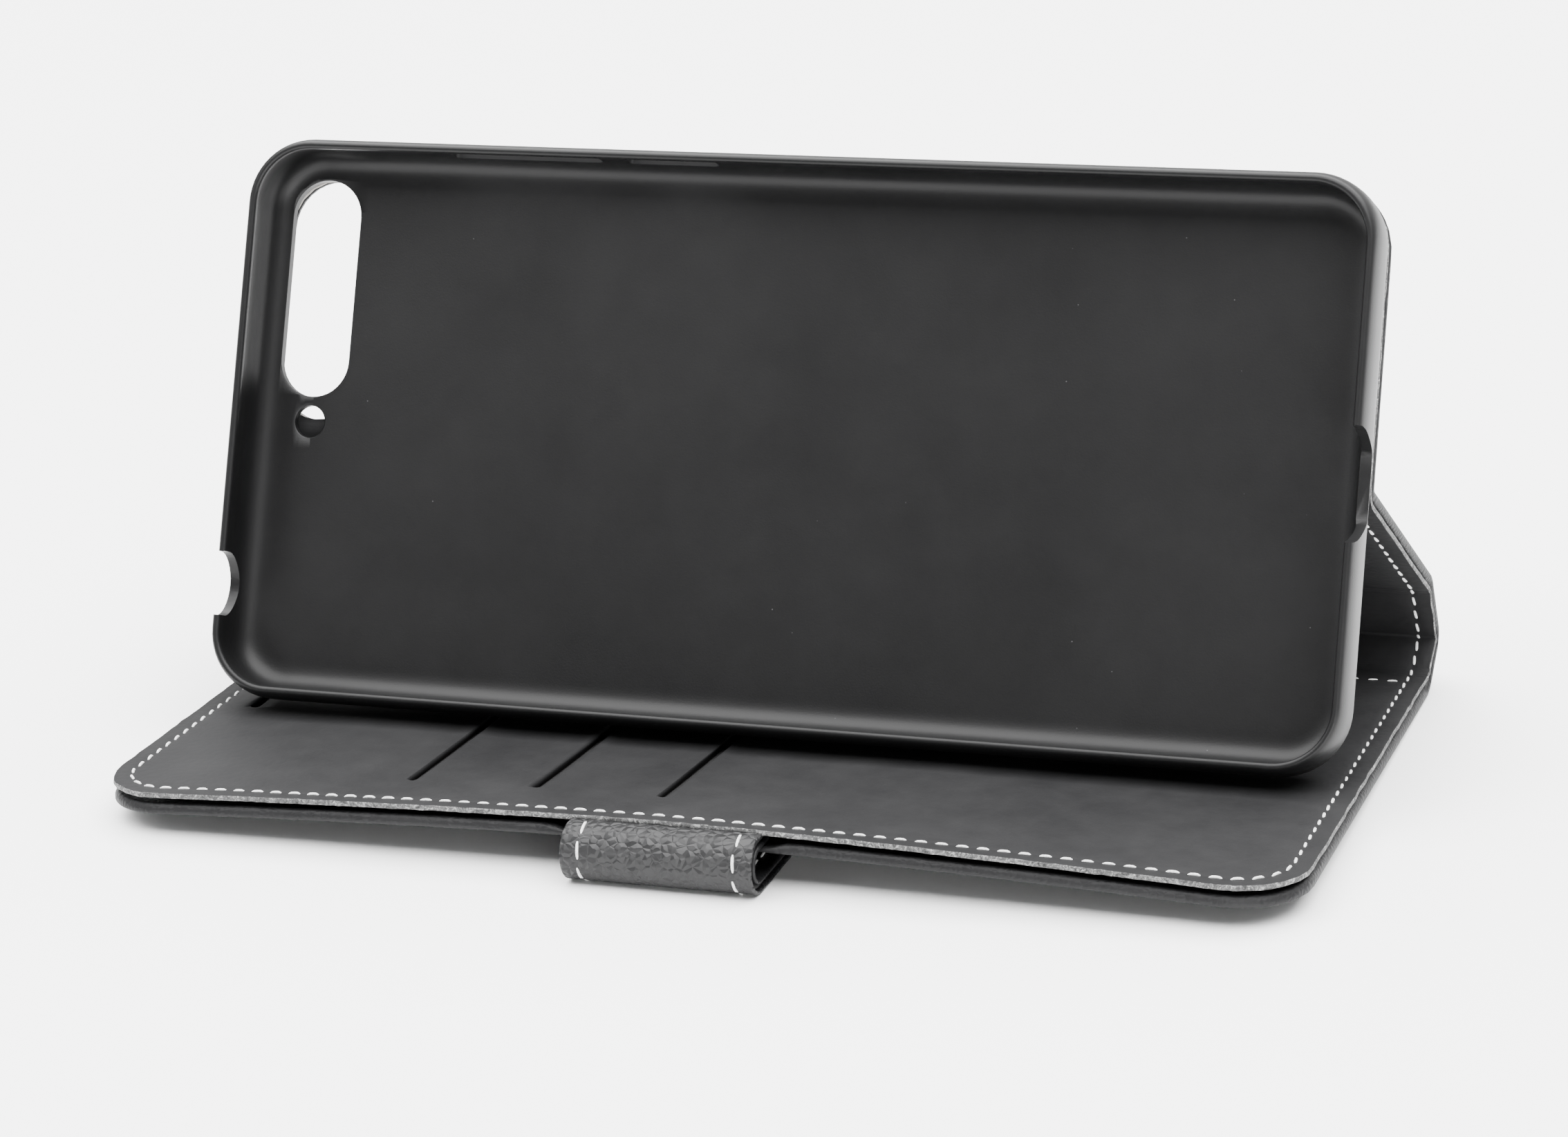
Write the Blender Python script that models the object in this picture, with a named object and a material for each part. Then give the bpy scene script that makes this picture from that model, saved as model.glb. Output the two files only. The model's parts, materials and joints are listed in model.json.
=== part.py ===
"""Phone wallet case, set up as a landscape stand.

Lengths in the functions are millimetres and become metres when a mesh is made. Every folding body has its own
frame, with its origin on the fold that carries it: X runs along the phone's long side, S runs away from the
fold along the panel and N is the normal on the lining side, measured from the middle of the panel.
"""

import math

import bmesh
import bpy
from mathutils import Matrix, Vector

MM = 0.001

# Whole cover
COVER_LENGTH = 158.0
COVER_CORNER = 10.0
STITCH_INSET = 2.4
THREAD_WIDTH = 0.6
THREAD_HEIGHT = 0.35
GAP = 0.25
SKIN = 0.7
BOARD = 0.6
SHEET = 0.3
BOARD_INSET = 3.8

# Front cover, lining side up
FRONT_NEAR = -40.0
FRONT_FAR = 39.6
FRONT_THICKNESS = 3.0
BOW_HEIGHT = 2.6
BOW_END = -4.0

# Folds: distance between fold axes and direction of each panel from the horizontal, in degrees
FOLD_AXIS = (41.3, FRONT_THICKNESS / 2)
SPINE_FRONT = (7.6, 38.0)
SPINE_BACK = (10.1, 119.0)
STAND = (34.5, 143.8)
TRAY_DIRECTION = 68.5
TILT = math.atan2(2.5, 84.0)
PANEL_THICKNESS = 2 * SKIN + BOARD + 2 * GAP
UPPER_PANEL = 39.8
UPPER_PANEL_LENGTH = 155.8
UPPER_PANEL_SHIFT = -(COVER_LENGTH - UPPER_PANEL_LENGTH) / 2
UPPER_CORNER = 9.0

# Phone tray
TRAY_LENGTH = 155.0
TRAY_BOTTOM = -36.2
TRAY_HEIGHT = 75.8
TRAY_DEPTH = 9.2
TRAY_CORNER = 9.0
TRAY_WALL = 1.2
TRAY_SEAT = PANEL_THICKNESS / 2 + 0.7

# Card slots, from the left edge of the stitching
SLOT_X = (-37.8, -20.8, -3.8)
SLOT_NEAR = -30.0
SLOT_LENGTH = 60.0
SLOT_WIDTH = 1.4
CASH_SLOT_X = -71.6
CASH_SLOT_NEAR = -5.8
CASH_SLOT_LENGTH = 36.0

# Magnetic strap, folded under the near edge
STRAP_WIDTH = 25.0
STRAP_X = 0.5
STRAP_AXIS = (-40.9, 1.3)
STRAP_RADIUS = 2.75
STRAP_THICKNESS = 1.9
STRAP_LAYER = 0.5
STRAP_LENGTH = 27.0
MAGNET_RADIUS = 6.5


def clear_scene():
    for thing in list(bpy.data.objects):
        bpy.data.objects.remove(thing, do_unlink=True)


def material(name, colour, roughness, metallic=0.0):
    made = bpy.data.materials.new(name)
    made.use_nodes = True
    shader = made.node_tree.nodes["Principled BSDF"]
    shader.inputs["Base Color"].default_value = (*colour, 1.0)
    shader.inputs["Roughness"].default_value = roughness
    shader.inputs["Metallic"].default_value = metallic
    return made


def empty(name, parent, y, z, angle):
    """A fold's frame: an empty on the fold axis, turned so that its Y runs along the panel."""
    made = bpy.data.objects.new(name, None)
    bpy.context.collection.objects.link(made)
    made.parent = parent
    made.location = (0.0, y * MM, z * MM)
    made.rotation_euler = (math.radians(angle), 0.0, 0.0)
    return made


def build(name, mesh, parent, look, smooth_angle=40.0):
    """Turn a bmesh in millimetres into an object of the given frame, with its faces pointing out."""
    bmesh.ops.remove_doubles(mesh, verts=mesh.verts, dist=1e-4)
    bmesh.ops.scale(mesh, vec=(MM, MM, MM), verts=mesh.verts)
    bmesh.ops.recalc_face_normals(mesh, faces=mesh.faces)
    data = bpy.data.meshes.new(name)
    mesh.to_mesh(data)
    mesh.free()
    data.shade_smooth()
    data.set_sharp_from_angle(angle=math.radians(smooth_angle))
    data.materials.append(look)
    made = bpy.data.objects.new(name, data)
    bpy.context.collection.objects.link(made)
    made.parent = parent
    return made


def cut(target, cutter_name, mesh):
    """Subtract a closed mesh, given in the target's frame, with an EXACT Boolean."""
    tool = build(cutter_name, mesh, target.parent, target.data.materials[0])
    tool.hide_render = True
    tool.display_type = "WIRE"
    modifier = target.modifiers.new(cutter_name, "BOOLEAN")
    modifier.operation = "DIFFERENCE"
    modifier.solver = "EXACT"
    modifier.object = tool


def bow(x, s):
    """Lift of the front cover over the folded strap: full at the near edge's middle, none past BOW_END."""
    across = max(0.0, 1.0 - (abs(x) / (COVER_LENGTH / 2)) ** 1.6)
    along = min(1.0, max(0.0, (BOW_END - s) / (BOW_END - FRONT_NEAR)))
    return BOW_HEIGHT * across * along ** 1.3


def flat(x, s):
    return 0.0


def rows_of(start, end, half, round_start, round_end, extra=()):
    """(s, half width) down a panel, with quarter-round corners at either end."""
    steps = 5
    rows = []
    if round_start > 0:
        for i in range(steps + 1):
            turn = math.pi / 2 * i / steps
            rows.append((start + round_start * (1 - math.cos(turn)), half - round_start * (1 - math.sin(turn))))
    else:
        rows.append((start, half))
    rows += [(s, half) for s in extra]
    if round_end > 0:
        for i in range(steps + 1):
            turn = math.pi / 2 * (1 - i / steps)
            rows.append((end - round_end * (1 - math.cos(turn)), half - round_end * (1 - math.sin(turn))))
    else:
        rows.append((end, half))
    return rows


def layer(name, rows, low, high, parent, look, lift=flat, columns=1, centre=(0.0, 0.0)):
    """One sheet of a panel: two grids over the same outline, joined round the edge.

    centre is the middle's X at the first row and at the last."""
    start, end = rows[0][0], rows[-1][0]
    mesh = bmesh.new()
    sides = []
    for level in (low, high):
        grid = []
        for s, half in rows:
            line = []
            for i in range(columns + 1):
                middle = centre[0] + (centre[1] - centre[0]) * (s - start) / (end - start)
                x = middle + half * (2 * i / columns - 1)
                line.append(mesh.verts.new((x, s, level + lift(x, s))))
            grid.append(line)
        for a, b in zip(grid, grid[1:]):
            for i in range(columns):
                mesh.faces.new((a[i], a[i + 1], b[i + 1], b[i]))
        rim = grid[0] + [line[-1] for line in grid[1:]] + grid[-1][-2::-1] + [line[0] for line in grid[-2:0:-1]]
        sides.append(rim)
    lower, upper = sides
    for i, corner in enumerate(lower):
        j = (i + 1) % len(lower)
        mesh.faces.new((corner, lower[j], upper[j], upper[i]))
    return build(name, mesh, parent, look)


def rounded_loop(length, height, corner, steps):
    """Points of a rounded rectangle round its own centre, counter-clockwise."""
    points = []
    for quarter, (sx, sy) in enumerate(((1, 1), (-1, 1), (-1, -1), (1, -1))):
        for i in range(steps + 1):
            turn = math.pi / 2 * (quarter + i / steps)
            x = sx * (length / 2 - corner) + corner * math.cos(turn)
            y = sy * (height / 2 - corner) + corner * math.sin(turn)
            points.append((x, y))
    return points


def block(x0, x1, s0, s1, n0, n1):
    mesh = bmesh.new()
    bmesh.ops.create_cube(mesh, size=1.0)
    bmesh.ops.scale(mesh, vec=(x1 - x0, s1 - s0, n1 - n0), verts=mesh.verts)
    bmesh.ops.translate(mesh, vec=((x0 + x1) / 2, (s0 + s1) / 2, (n0 + n1) / 2), verts=mesh.verts)
    return mesh


def prism(outline, low, high):
    """A closed prism over an outline of (x, s) points, between two N levels."""
    mesh = bmesh.new()
    lower = [mesh.verts.new((x, s, low)) for x, s in outline]
    upper = [mesh.verts.new((x, s, high)) for x, s in outline]
    mesh.faces.new(lower[::-1])
    mesh.faces.new(upper)
    for i in range(len(outline)):
        j = (i + 1) % len(outline)
        mesh.faces.new((lower[i], lower[j], upper[j], upper[i]))
    return mesh


def pill(x, s0, s1, width, steps=6):
    """Outline of a slot with round ends, along S."""
    half = width / 2
    points = []
    for i in range(steps + 1):
        turn = math.pi * i / steps
        points.append((x + half * math.cos(turn), s1 - half + half * math.sin(turn)))
    for i in range(steps + 1):
        turn = math.pi * (1 + i / steps)
        points.append((x + half * math.cos(turn), s0 + half + half * math.sin(turn)))
    return points


def ring(name, path, base, parent, look, lift=flat, closed=True):
    """A seam's thread as one plain strand of rectangular section along a path of (x, s) points."""
    mesh = bmesh.new()
    count = len(path)
    sections = []
    for i, (x, s) in enumerate(path):
        before = Vector(path[i - 1] if closed or i > 0 else path[i])
        after = Vector(path[(i + 1) % count] if closed or i < count - 1 else path[i])
        along = (after - before).normalized()
        side = Vector((along.y, -along.x)) * THREAD_WIDTH / 2
        section = []
        for sign, level in ((-1, 0), (1, 0), (1, THREAD_HEIGHT), (-1, THREAD_HEIGHT)):
            px, ps = x + sign * side.x, s + sign * side.y
            section.append(mesh.verts.new((px, ps, base + level + lift(px, ps))))
        sections.append(section)
    pairs = list(zip(sections, sections[1:] + sections[:1] if closed else sections[1:]))
    for a, b in pairs:
        for k in range(4):
            m = (k + 1) % 4
            mesh.faces.new((a[k], a[m], b[m], b[k]))
    if not closed:
        mesh.faces.new(sections[0][::-1])
        mesh.faces.new(sections[-1])
    return build(name, mesh, parent, look)


def strip(name, path, half_width, thickness, parent, look, centre=0.0):
    """A bent strip: a path of (s, n) points given a thickness and extruded along X."""
    mesh = bmesh.new()
    inner, outer = [], []
    for i, point in enumerate(path):
        before = Vector(path[max(i - 1, 0)])
        after = Vector(path[min(i + 1, len(path) - 1)])
        along = (after - before).normalized()
        normal = Vector((-along.y, along.x)) * thickness / 2
        inner.append(Vector(point) + normal)
        outer.append(Vector(point) - normal)
    outline = inner + outer[::-1]
    ends = []
    for x in (centre - half_width, centre + half_width):
        ends.append([mesh.verts.new((x, s, n)) for s, n in outline])
    count = len(outline)
    for end in ends:
        for i in range(len(path) - 1):
            mesh.faces.new((end[i], end[i + 1], end[count - 2 - i], end[count - 1 - i]))
    for i in range(count):
        j = (i + 1) % count
        mesh.faces.new((ends[0][i], ends[0][j], ends[1][j], ends[1][i]))
    return build(name, mesh, parent, look)


def fold_strip(name, setback, length, angle, panel_length, centre, parent, look):
    """The bare leather across a fold: from this body's side (angle below the X-S plane) to the next panel."""
    back = math.radians(180 - angle)
    start = ((setback - GAP) * math.cos(back), (setback - GAP) * math.sin(back))
    path = [start, (0.0, 0.0), (length, 0.0)]
    return strip(name, path, panel_length / 2 - 0.6, 0.9, parent, look, centre)


def tapered(rows, end_half):
    """The same rows with straight sides that run to another half width at the end."""
    (start, half), (end, _) = rows[0], rows[-1]
    return [(s, width - (half - end_half) * (s - start) / (end - start)) for s, width in rows]


def panel_stack(prefix, start, end, half, end_half, round_end, centre, parent, looks):
    """Outer leather, stiffener and lining of one panel of the cover."""
    bottom = -PANEL_THICKNESS / 2
    rows = tapered(rows_of(start, end, half, 0, round_end), end_half)
    layer(prefix + "_outer_leather", rows, bottom, bottom + SKIN, parent, looks["leather"], centre=centre)
    top = PANEL_THICKNESS / 2
    lining = layer(prefix + "_lining", rows, top - SKIN, top, parent, looks["lining"], centre=centre)
    board_start = start + 0.8
    board_end = end - (BOARD_INSET if round_end else 0.8)
    corner = max(round_end - BOARD_INSET, 0)
    board_rows = tapered(rows_of(board_start, board_end, half - BOARD_INSET, 0, corner), end_half - BOARD_INSET)
    board_low = bottom + SKIN + GAP
    board = layer(prefix + "_board", board_rows, board_low, board_low + BOARD, parent, looks["board"],
                  centre=centre)
    return lining, board


def side_threads(name, start, end, half, end_half, centre, parent, looks):
    """The two seams along a panel's short sides, joined by no cross seam: a left and a right strand."""
    base = PANEL_THICKNESS / 2 + GAP / 2
    for side, sign in (("left", -1), ("right", 1)):
        path = [(centre[0] + sign * (half - STITCH_INSET), start),
                (centre[1] + sign * (end_half - STITCH_INSET), end)]
        ring(name + "_" + side, path, base, parent, looks["thread"], closed=False)


def front_cover(frame, looks):
    half = COVER_LENGTH / 2
    inner = [-27.0, -20.0, -12.0, BOW_END, 20.0]
    rows = rows_of(FRONT_NEAR, FRONT_FAR, half, COVER_CORNER, 0, inner)
    layer("front_outer_leather", rows, 0.0, SKIN, frame, looks["leather"], bow, 14)
    board_low = SKIN + GAP
    board_rows = rows_of(FRONT_NEAR + BOARD_INSET, FRONT_FAR - 0.8, half - BOARD_INSET,
                         COVER_CORNER - BOARD_INSET, 0, inner)
    board = layer("front_board", board_rows, board_low, board_low + BOARD, frame, looks["board"], bow, 14)
    notch = block(STRAP_X - 14.5, STRAP_X + 14.5, FRONT_NEAR, FRONT_NEAR + 8.5, 0.0, 8.0)
    cut(board, "board_notch", notch)
    lining = layer("front_lining", rows, FRONT_THICKNESS - SKIN, FRONT_THICKNESS, frame, looks["lining"], bow, 14)
    slots = [(x, SLOT_NEAR, SLOT_LENGTH) for x in SLOT_X] + [(CASH_SLOT_X, CASH_SLOT_NEAR, CASH_SLOT_LENGTH)]
    for number, (x, near, length) in enumerate(slots, 1):
        cut(lining, "slot_%d" % number, prism(pill(x, near, near + length, SLOT_WIDTH), 0.5, 8.0))
    sheet_low = board_low + BOARD + 0.2
    for number, x in enumerate(SLOT_X, 1):
        far_x = SLOT_X[number] - 1.9 if number < len(SLOT_X) else half - 5.0
        rows_sheet = rows_of(SLOT_NEAR + 0.5, SLOT_NEAR + SLOT_LENGTH - 0.5, (far_x - x + 1.5) / 2, 0, 0,
                             (-20.0, -12.0, BOW_END))
        centre = (far_x + x - 1.5) / 2
        layer("card_pocket_%d" % number, rows_sheet, sheet_low, sheet_low + SHEET, frame, looks["pocket"],
              bow, 4, (centre, centre))
    cash_left = CASH_SLOT_X - 2.0
    cash_right = SLOT_X[0] - 2.6
    rows_cash = rows_of(SLOT_NEAR + 0.5, SLOT_NEAR + SLOT_LENGTH + 3.0, (cash_right - cash_left) / 2, 0, 0,
                        (-20.0, -12.0, BOW_END))
    cash_middle = (cash_left + cash_right) / 2
    layer("cash_pocket", rows_cash, sheet_low, sheet_low + SHEET, frame, looks["pocket"], bow, 4,
          (cash_middle, cash_middle))
    corner = COVER_CORNER - STITCH_INSET
    length = COVER_LENGTH - 2 * STITCH_INSET
    height = FRONT_FAR - FRONT_NEAR - 2 * STITCH_INSET
    path = seam_path(length, height, corner, FRONT_NEAR + STITCH_INSET)
    ring("front_seam_thread", path, FRONT_THICKNESS + GAP / 2, frame, looks["thread"], bow)


def seam_path(length, height, corner, start):
    """Round near corners, square far corners, with points between them so that the strand can bow."""
    path = []
    half = length / 2
    for i in range(5):
        turn = math.pi / 2 * (3 + i / 4)
        path.append((half - corner + corner * math.cos(turn), start + corner * (1 + math.sin(turn))))
    path += [(half, start + corner + 10.0), (half, start + 30.0), (half, start + height)]
    path += [(-half, start + height), (-half, start + 30.0), (-half, start + corner + 10.0)]
    for i in range(5):
        turn = math.pi * (1 + i / 8)
        path.append((-half + corner + corner * math.cos(turn), start + corner * (1 + math.sin(turn))))
    middle = [(2 * i / 12 - 1) * (half - corner) for i in range(1, 12)]
    return path + [(x, start) for x in middle]


def tray(frame, looks):
    """The moulded tray that grips the phone: floor, walls with a rolled rim, and its openings."""
    steps = 6
    centre = TRAY_BOTTOM + TRAY_HEIGHT / 2
    depth = TRAY_DEPTH
    # (inset from the widest outline, height above the seat)
    outside = [(3.0, 0.0), (1.5, 0.4), (0.4, 1.5), (0.0, 3.2), (0.0, 6.4), (0.35, 8.2), (0.9, depth)]
    inside = [(1.5, depth), (1.75, depth - 0.5), (1.5, depth - 1.6), (1.2, 5.6), (1.3, 3.6), (1.9, 2.3),
              (2.9, 1.5), (4.2, TRAY_WALL)]
    mesh = bmesh.new()
    loops = []
    for inset, level in outside + inside:
        outline = rounded_loop(TRAY_LENGTH - 2 * inset, TRAY_HEIGHT - 2 * inset, TRAY_CORNER - inset, steps)
        loops.append([mesh.verts.new((x, s + centre, TRAY_SEAT + level)) for x, s in outline])
    mesh.faces.new(loops[0])
    for a, b in zip(loops, loops[1:]):
        for i in range(len(a)):
            j = (i + 1) % len(a)
            mesh.faces.new((a[i], a[j], b[j], b[i]))
    mesh.faces.new(loops[-1])
    made = build("phone_tray", mesh, frame, looks["tray"])
    left = -TRAY_LENGTH / 2
    top = TRAY_BOTTOM + TRAY_HEIGHT
    low, high = TRAY_SEAT - 1.0, TRAY_SEAT + depth + 1.0
    cut(made, "camera_pill", prism(pill(left + 8.7, TRAY_BOTTOM + 41.4, TRAY_BOTTOM + 71.0, 10.0, 10), low, high))
    cut(made, "flash_hole", prism(pill(left + 8.7, TRAY_BOTTOM + 35.8, TRAY_BOTTOM + 40.2, 4.4, 8), low, high))
    for name, x0, x1 in (("volume_window", 28.0, 49.2), ("power_window", 53.0, 65.6)):
        window = block(left + x0, left + x1, top - 3.0, top + 1.0, TRAY_SEAT + 3.4, TRAY_SEAT + 7.4)
        cut(made, name, window)
    jack = prism(pill(0.0, -7.0, 7.0, 8.6, 8), -3.0, 3.0)
    bmesh.ops.rotate(jack, verts=jack.verts, matrix=Matrix(((0, 0, 1), (1, 0, 0), (0, 1, 0))))
    bmesh.ops.translate(jack, verts=jack.verts, vec=(left, TRAY_BOTTOM + 15.0, TRAY_SEAT + 10.4))
    cut(made, "jack_notch", jack)
    port = prism([(-7.2, 3.0), (7.2, 3.0), (7.2, 0.0), (4.6, -5.6), (-4.6, -5.6), (-7.2, 0.0)], -3.0, 3.0)
    bmesh.ops.rotate(port, verts=port.verts, matrix=Matrix(((0, 0, 1), (1, 0, 0), (0, 1, 0))))
    bmesh.ops.translate(port, verts=port.verts, vec=(-left, TRAY_BOTTOM + 36.8, TRAY_SEAT + 8.6))
    cut(made, "port_notch", port)
    return made


def tray_panel(frame, looks):
    half = UPPER_PANEL_LENGTH / 2
    lining, board = panel_stack("tray_panel", 1.3, UPPER_PANEL, half, half, UPPER_CORNER,
                                (UPPER_PANEL_SHIFT, UPPER_PANEL_SHIFT), frame, looks)
    left = -TRAY_LENGTH / 2
    window = pill(left + 8.7, 2.3, TRAY_BOTTOM + 71.4, 13.0, 10)
    for target in (lining, board, bpy.data.objects["tray_panel_outer_leather"]):
        cut(target, target.name + "_window", prism(window, -3.0, 3.0))
    disc = [(STRAP_X + (MAGNET_RADIUS + 0.5) * math.cos(i * math.pi / 12),
             26.0 + (MAGNET_RADIUS + 0.5) * math.sin(i * math.pi / 12)) for i in range(24)]
    cut(board, "keeper_hole", prism(disc, -3.0, 3.0))
    keeper_low = -PANEL_THICKNESS / 2 + SKIN + GAP
    keeper = prism([(STRAP_X + (x - STRAP_X) * 0.95, 26.0 + (s - 26.0) * 0.95) for x, s in disc],
                   keeper_low, keeper_low + 0.5)
    build("magnet_keeper", keeper, frame, looks["steel"])
    rows = rows_of(4.0, UPPER_PANEL - 6.0, TRAY_LENGTH / 2 - 20.0, 0, 4.0)
    pad_low = PANEL_THICKNESS / 2 + 0.2
    layer("adhesive_pad", rows, pad_low, pad_low + SHEET, frame, looks["tape"])
    x = half - STITCH_INSET
    corner = UPPER_CORNER - STITCH_INSET
    end = UPPER_PANEL - STITCH_INSET
    path = [(x, 1.6), (x, end - corner)]
    path += [(x - corner + corner * math.cos(math.pi / 8 * i), end - corner + corner * math.sin(math.pi / 8 * i))
             for i in range(1, 5)]
    path = [(UPPER_PANEL_SHIFT + px, s) for px, s in path + [(-px, s) for px, s in reversed(path)]]
    ring("tray_panel_seam_thread", path, -PANEL_THICKNESS / 2 - GAP / 2 - THREAD_HEIGHT, frame,
         looks["thread"], closed=False)
    tray(frame, looks)


def strap(front_frame, strap_frame, looks):
    """The clasp strap: an anchor sewn into the cover, a bend round the fold axis, and the folded tab."""
    anchor_low = SKIN + GAP
    rows = rows_of(FRONT_NEAR + 0.4, FRONT_NEAR + 8.0, STRAP_WIDTH / 2, 0, 0)
    layer("strap_anchor", rows, anchor_low, anchor_low + 1.0, front_frame, looks["strap"], bow, 4,
          (STRAP_X, STRAP_X))
    bend = []
    for i in range(13):
        turn = math.radians(84 + 180 * i / 12 * 0.95)
        bend.append((STRAP_RADIUS * math.cos(turn), STRAP_RADIUS * math.sin(turn)))
    strip("strap_bend", bend, STRAP_WIDTH / 2, STRAP_THICKNESS, strap_frame, looks["strap"], STRAP_X)
    half = STRAP_WIDTH / 2
    low = -STRAP_RADIUS - STRAP_THICKNESS / 2
    start = 0.9
    rows = rows_of(start, STRAP_LENGTH, half, 0, 5.0)
    layer("strap_outer_leather", rows, low, low + STRAP_LAYER, strap_frame, looks["strap"],
          centre=(STRAP_X, STRAP_X))
    top = low + STRAP_THICKNESS
    layer("strap_lining", rows, top - STRAP_LAYER, top, strap_frame, looks["lining"],
          centre=(STRAP_X, STRAP_X))
    core_rows = rows_of(start + 0.5, STRAP_LENGTH - 2.5, half - 2.5, 0, 3.0)
    core_low = low + STRAP_LAYER + 0.2
    core = layer("strap_filler", core_rows, core_low, core_low + STRAP_LAYER, strap_frame, looks["board"],
                 centre=(STRAP_X, STRAP_X))
    circle = [(STRAP_X + MAGNET_RADIUS * math.cos(i * math.pi / 12), 16.5 + MAGNET_RADIUS * math.sin(i * math.pi / 12))
              for i in range(24)]
    cut(core, "magnet_hole", prism([(STRAP_X + (x - STRAP_X) * 1.06, 16.5 + (s - 16.5) * 1.06) for x, s in circle],
                                   -9.0, 9.0))
    build("strap_magnet", prism(circle, core_low, core_low + STRAP_LAYER), strap_frame, looks["steel"])


def stand_on_table(table):
    """Put the whole case on Z = 0, with the middle of its box over the origin."""
    bpy.context.view_layer.update()
    corners = [thing.matrix_world @ vertex.co for thing in bpy.data.objects
               if thing.type == "MESH" and not thing.hide_render for vertex in thing.data.vertices]
    ys = [corner.y for corner in corners]
    table.location.y -= (min(ys) + max(ys)) / 2
    table.location.z -= min(corner.z for corner in corners)


def main():
    clear_scene()
    looks = {
        "leather": material("black_grained_leather", (0.010, 0.010, 0.011), 0.50),
        "lining": material("black_smooth_leather", (0.014, 0.014, 0.015), 0.60),
        "strap": material("black_pebbled_leather", (0.016, 0.016, 0.017), 0.48),
        "board": material("grey_board", (0.35, 0.33, 0.30), 0.90),
        "pocket": material("black_pocket_cloth", (0.012, 0.012, 0.012), 0.90),
        "thread": material("white_thread", (0.75, 0.75, 0.74), 0.70),
        "tray": material("black_matte_plastic", (0.018, 0.018, 0.019), 0.42),
        "tape": material("clear_tape", (0.55, 0.55, 0.52), 0.40),
        "steel": material("plated_steel", (0.60, 0.60, 0.60), 0.30, 1.0),
    }
    table = empty("table_frame", None, 0.0, 0.0, 0.0)
    table.rotation_euler = (-TILT, 0.0, 0.0)
    front = empty("front_frame", table, 0.0, 0.0, 0.0)
    front_cover(front, looks)

    y, z = FOLD_AXIS
    frames = []
    for name, (length, angle) in (("spine_front", SPINE_FRONT), ("spine_back", SPINE_BACK), ("stand_panel", STAND)):
        frames.append(empty(name + "_frame", table, y, z, angle))
        y += length * math.cos(math.radians(angle))
        z += length * math.sin(math.radians(angle))
    tray_frame = empty("tray_panel_frame", table, y, z, TRAY_DIRECTION)

    folds = (("fold_front_spine", 1.7, 1.35, SPINE_FRONT[1], COVER_LENGTH, 0.0),
             ("fold_mid_spine", 1.4, 1.15, SPINE_BACK[1] - SPINE_FRONT[1], COVER_LENGTH, 0.0),
             ("fold_spine_stand", 0.9, 0.65, STAND[1] - SPINE_BACK[1], COVER_LENGTH, 0.0),
             ("fold_crease", 1.4, 1.05, TRAY_DIRECTION - STAND[1], UPPER_PANEL_LENGTH, UPPER_PANEL_SHIFT))
    for (name, setback, length, angle, across, centre), frame in zip(folds, frames + [tray_frame]):
        fold_strip(name, setback, length, angle, across, centre, frame, looks["leather"])

    half, upper_half = COVER_LENGTH / 2, UPPER_PANEL_LENGTH / 2
    spans = (("spine_front", 1.6, SPINE_FRONT[0] - 1.4, half, 0.0),
             ("spine_back", 1.4, SPINE_BACK[0] - 0.9, half, 0.0),
             ("stand_panel", 0.9, STAND[0] - 1.4, upper_half, UPPER_PANEL_SHIFT))
    for (name, start, end, end_half, shift), frame in zip(spans, frames):
        panel_stack(name, start, end, half, end_half, 0, (0.0, shift), frame, looks)
        side_threads(name + "_thread", start, end, half, end_half, (0.0, shift), frame, looks)
    tray_panel(tray_frame, looks)
    strap_frame = empty("strap_frame", table, STRAP_AXIS[0], STRAP_AXIS[1], math.degrees(TILT))
    strap(front, strap_frame, looks)
    stand_on_table(table)


main()
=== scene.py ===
# The looks of the phone wallet case: leather sheets, seams, strap, moulded tray, floor, light and camera.
# Lengths in the functions are millimetres and become metres when a mesh is made. A Place is the plane of one
# panel: X along the phone's long side, S away from the fold, N the normal on the lining side.

import json
import math

import bmesh
import bpy
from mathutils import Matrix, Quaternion, Vector, noise

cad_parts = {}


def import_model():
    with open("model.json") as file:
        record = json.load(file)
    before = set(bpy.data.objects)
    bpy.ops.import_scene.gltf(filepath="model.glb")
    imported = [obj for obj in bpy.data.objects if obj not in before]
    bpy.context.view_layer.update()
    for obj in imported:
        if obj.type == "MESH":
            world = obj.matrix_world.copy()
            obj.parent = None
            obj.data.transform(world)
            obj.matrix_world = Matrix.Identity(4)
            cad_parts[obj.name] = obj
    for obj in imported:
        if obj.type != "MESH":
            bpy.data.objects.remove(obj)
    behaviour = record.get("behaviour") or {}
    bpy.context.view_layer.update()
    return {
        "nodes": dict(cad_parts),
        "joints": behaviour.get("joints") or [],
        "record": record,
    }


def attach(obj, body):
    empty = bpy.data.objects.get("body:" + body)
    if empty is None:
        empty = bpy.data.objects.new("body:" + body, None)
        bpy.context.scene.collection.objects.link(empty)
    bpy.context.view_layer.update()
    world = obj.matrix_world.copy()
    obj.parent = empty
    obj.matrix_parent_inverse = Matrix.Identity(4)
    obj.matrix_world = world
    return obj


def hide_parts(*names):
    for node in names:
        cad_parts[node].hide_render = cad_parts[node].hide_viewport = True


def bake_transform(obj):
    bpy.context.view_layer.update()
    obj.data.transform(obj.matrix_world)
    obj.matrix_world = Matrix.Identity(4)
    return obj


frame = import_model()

MM = 0.001

# The leather cover. Its layers and faces are levels above the middle of a panel, and a reach is how far a
# fold's bend goes from its axis.
COVER_HALF = 79.0
CORNER = 10.0
LEATHER = 0.7
FRONT_NEAR = -40.0
FRONT_HINGE = 41.3
HINGE_LEVEL = 1.5
UPPER_PANEL = 39.8
UPPER_HALF = 77.9
UPPER_SHIFT = UPPER_HALF - COVER_HALF
UPPER_CORNER = 9.0
PANEL_LAYER = 0.9
PANEL_FACE = 1.25
HINGE_REACH, MIDDLE_REACH, BACK_REACH, CREASE_REACH = 1.6, 1.4, 0.9, 1.35

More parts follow.
